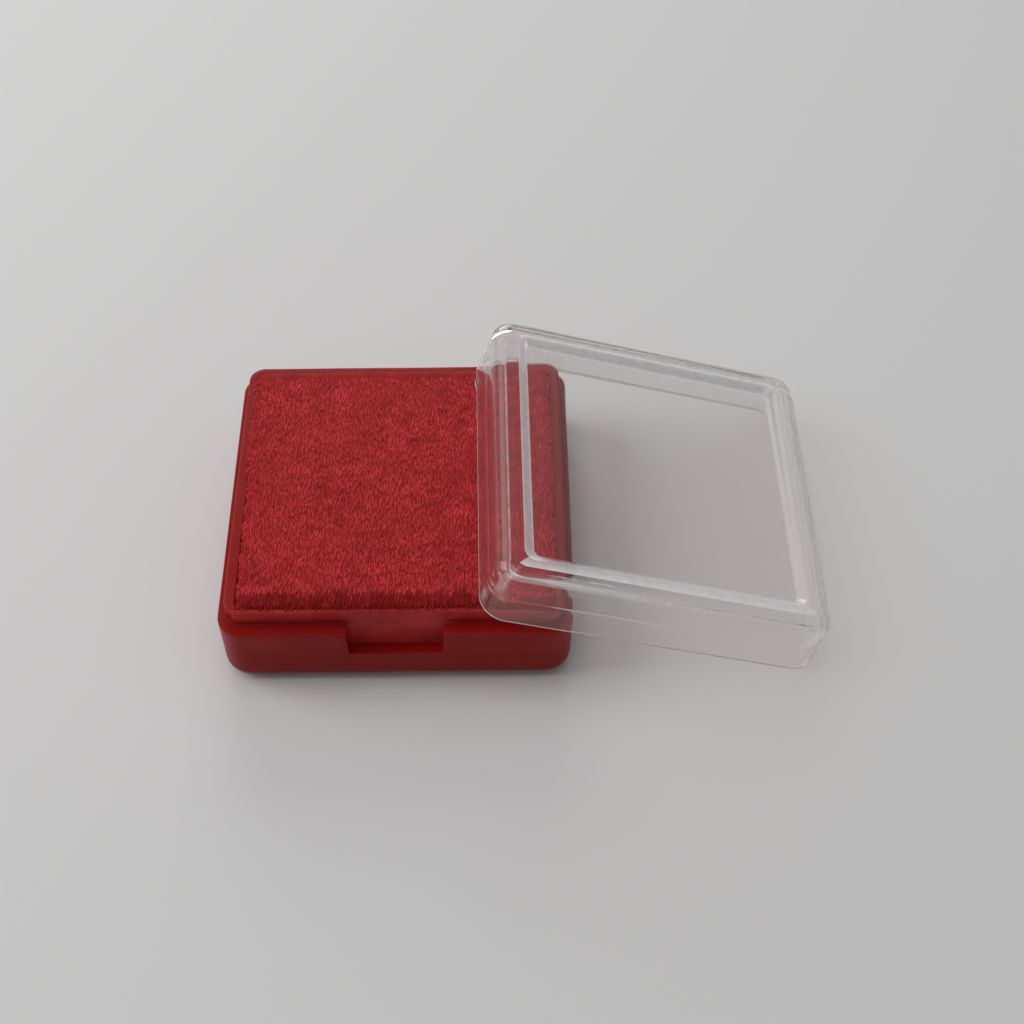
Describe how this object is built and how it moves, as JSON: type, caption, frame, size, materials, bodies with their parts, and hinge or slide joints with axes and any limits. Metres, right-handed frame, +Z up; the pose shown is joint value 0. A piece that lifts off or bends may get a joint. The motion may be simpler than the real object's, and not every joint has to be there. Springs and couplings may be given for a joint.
{
  "type": "ink pad",
  "caption": "Small square craft ink pad: red moulded tray with thumb notch and velvet-covered foam pad, and a loose clear lid leaning on it.",
  "frame": {"origin": "centre of the tray's flat underside, on the surface that it stands on", "axes": "+Z up, -Y towards the thumb notch, +X towards the side where the open lid leans"},
  "size_m": [0.0694, 0.0419, 0.0184],
  "materials": {
    "case_plastic": "glossy, slightly translucent deep red",
    "backing_card": "matt card stained by ink",
    "ink_foam": "open-cell foam soaked with red ink",
    "pad_velvet": "short-pile velvet inked red",
    "clear_plastic": "clear moulded plastic with a slight grey haze"
  },
  "bodies": {
    "base": {"base_case": "case_plastic", "pad_backing": "backing_card", "ink_sponge": "ink_foam", "pad_cloth": "pad_velvet"},
    "lid": {"lid": "clear_plastic"}
  },
  "joints": [
    {"name": "lid_lift", "type": "slide", "parent": "base", "child": "lid", "axis": [0, 0, 1], "range_m": [0, 0.03]}
  ]
}
